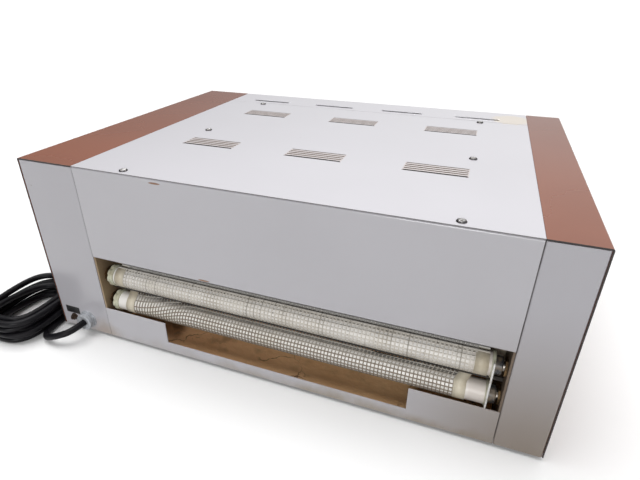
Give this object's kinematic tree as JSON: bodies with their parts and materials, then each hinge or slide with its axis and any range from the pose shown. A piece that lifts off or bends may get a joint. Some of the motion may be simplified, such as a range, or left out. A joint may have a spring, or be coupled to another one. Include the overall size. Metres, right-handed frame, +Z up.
{
  "type": "reflow oven",
  "caption": "Bench-top conveyor reflow oven: a white sheet-metal case with brown side covers and a vented top, a mesh belt on rollers through a low tunnel, and a coiled mains lead.",
  "frame": {"origin": "middle of the case's footprint, knob and cable gland included, at the level the feet stand on", "axes": "+X to the right as seen at the outlet end, +Y from the outlet end to the controls, +Z up"},
  "size_m": [0.7011, 0.5094, 0.2414],
  "materials": {
    "white_paint": "smooth powder coat",
    "brown_paint": "gloss paint",
    "grey_sheet": "heat-tinted sheet",
    "plain_sheet": "galvanised sheet",
    "screw_steel": "nickel plate",
    "roller_coat": "cream enamel",
    "journal_steel": "turned steel",
    "bush_brass": "sintered bronze",
    "belt_mesh": "open glass-fibre mesh, PTFE coated",
    "tray_sheet": "flux-stained sheet",
    "insulation": "ceramic fibre board",
    "element_sheath": "oxidised tube",
    "motor_paint": "dark enamel",
    "pulley_aluminium": "machined",
    "drive_rubber": "moulded",
    "black_plastic": "moulded",
    "button_red": "moulded",
    "button_green": "moulded",
    "terminal_plastic": "moulded",
    "gland_metal": "nickel plate",
    "cord_black": "smooth jacket",
    "pin_brass": "bright",
    "foot_rubber": "moulded"
  },
  "bodies": {
    "chassis": {"base_pan": "white_paint", "rubber_feet": "foot_rubber", "left_inner_wall": "grey_sheet", "right_inner_wall": "grey_sheet", "left_side_cover": "brown_paint", "right_side_cover": "brown_paint", "left_front_pillar": "white_paint", "right_front_pillar": "white_paint", "left_rear_pillar": "white_paint", "right_rear_pillar": "white_paint", "front_upper_panel": "white_paint", "front_lower_panel": "white_paint", "rear_control_panel": "white_paint", "rear_lower_panel": "white_paint", "top_cover": "white_paint", "rear_top_cover": "white_paint", "cover_screws": "screw_steel", "mid_cross_rail": "plain_sheet", "rear_bulkhead": "plain_sheet", "upper_heater_hood": "plain_sheet", "lower_heater_tray": "plain_sheet", "insulation_slabs": "insulation", "heater_elements": "element_sheath", "belt_support_rails": "plain_sheet", "flux_tray": "tray_sheet", "conveyor_belt": "belt_mesh", "belt_guide_rods": "journal_steel", "belt_edge_pin": "journal_steel", "roller_bearings": "bush_brass", "gear_motor": "motor_paint", "motor_bracket": "plain_sheet", "drive_belt": "drive_rubber", "preheat_controller": "black_plastic", "reflow_controller": "black_plastic", "speed_pot": "plain_sheet", "power_switch_frame": "black_plastic", "button_bezels": "screw_steel", "solid_state_relays": "terminal_plastic", "terminal_block": "terminal_plastic", "gland_body": "gland_metal", "gland_nuts": "gland_metal", "earth_terminal": "pin_brass", "power_cord": "cord_black", "cord_coil": "cord_black", "cord_tail": "cord_black", "plug": "cord_black", "plug_pins": "pin_brass"},
    "drive_roller": {"front_lower_roller": "roller_coat", "front_lower_journals": "journal_steel", "roller_pulley": "pulley_aluminium"},
    "outlet_upper_roller": {"front_upper_roller": "roller_coat", "front_upper_journals": "journal_steel"},
    "inlet_upper_roller": {"rear_upper_roller": "roller_coat", "rear_upper_journals": "journal_steel"},
    "inlet_lower_roller": {"rear_lower_roller": "roller_coat", "rear_lower_journals": "journal_steel"},
    "motor_pulley": {"motor_pulley": "pulley_aluminium"},
    "speed_knob": {"speed_knob": "black_plastic"},
    "power_rocker": {"power_switch_rocker": "button_red"},
    "heater_button": {"heater_button": "button_red"},
    "conveyor_button": {"conveyor_button": "button_green"}
  },
  "joints": [
    {"name": "drive_roller_spin", "type": "hinge", "parent": "chassis", "child": "drive_roller", "pos_m": [0.0145, -0.19675, 0.0534], "axis": [1, 0, 0], "continuous": true},
    {"name": "outlet_upper_spin", "type": "hinge", "parent": "chassis", "child": "outlet_upper_roller", "pos_m": [0.0145, -0.19675, 0.0907], "axis": [1, 0, 0], "continuous": true},
    {"name": "inlet_upper_spin", "type": "hinge", "parent": "chassis", "child": "inlet_upper_roller", "pos_m": [0.0145, 0.18925, 0.0907], "axis": [1, 0, 0], "continuous": true},
    {"name": "inlet_lower_spin", "type": "hinge", "parent": "chassis", "child": "inlet_lower_roller", "pos_m": [0.0145, 0.18925, 0.0534], "axis": [1, 0, 0], "continuous": true},
    {"name": "motor_spin", "type": "hinge", "parent": "chassis", "child": "motor_pulley", "pos_m": [0.0145, -0.13975, 0.063], "axis": [1, 0, 0], "continuous": true},
    {"name": "speed_turn", "type": "hinge", "parent": "chassis", "child": "speed_knob", "pos_m": [0.045, 0.21525, 0.183], "axis": [0, -1, 0], "range_deg": [0, 300]},
    {"name": "power_rock", "type": "hinge", "parent": "chassis", "child": "power_rocker", "pos_m": [0.205, 0.20525, 0.183], "axis": [1, 0, 0], "range_deg": [0, 20]},
    {"name": "heater_press", "type": "slide", "parent": "chassis", "child": "heater_button", "axis": [0, -1, 0], "range_m": [0, 0.003], "stiffness_N_per_m": 400},
    {"name": "conveyor_press", "type": "slide", "parent": "chassis", "child": "conveyor_button", "axis": [0, -1, 0], "range_m": [0, 0.003], "stiffness_N_per_m": 400}
  ],
  "couplings": [
    {"joint": "outlet_upper_spin", "follows": "drive_roller_spin", "ratio": 1},
    {"joint": "inlet_upper_spin", "follows": "drive_roller_spin", "ratio": 1},
    {"joint": "inlet_lower_spin", "follows": "drive_roller_spin", "ratio": 1},
    {"joint": "motor_spin", "follows": "drive_roller_spin", "ratio": 1.5}
  ]
}
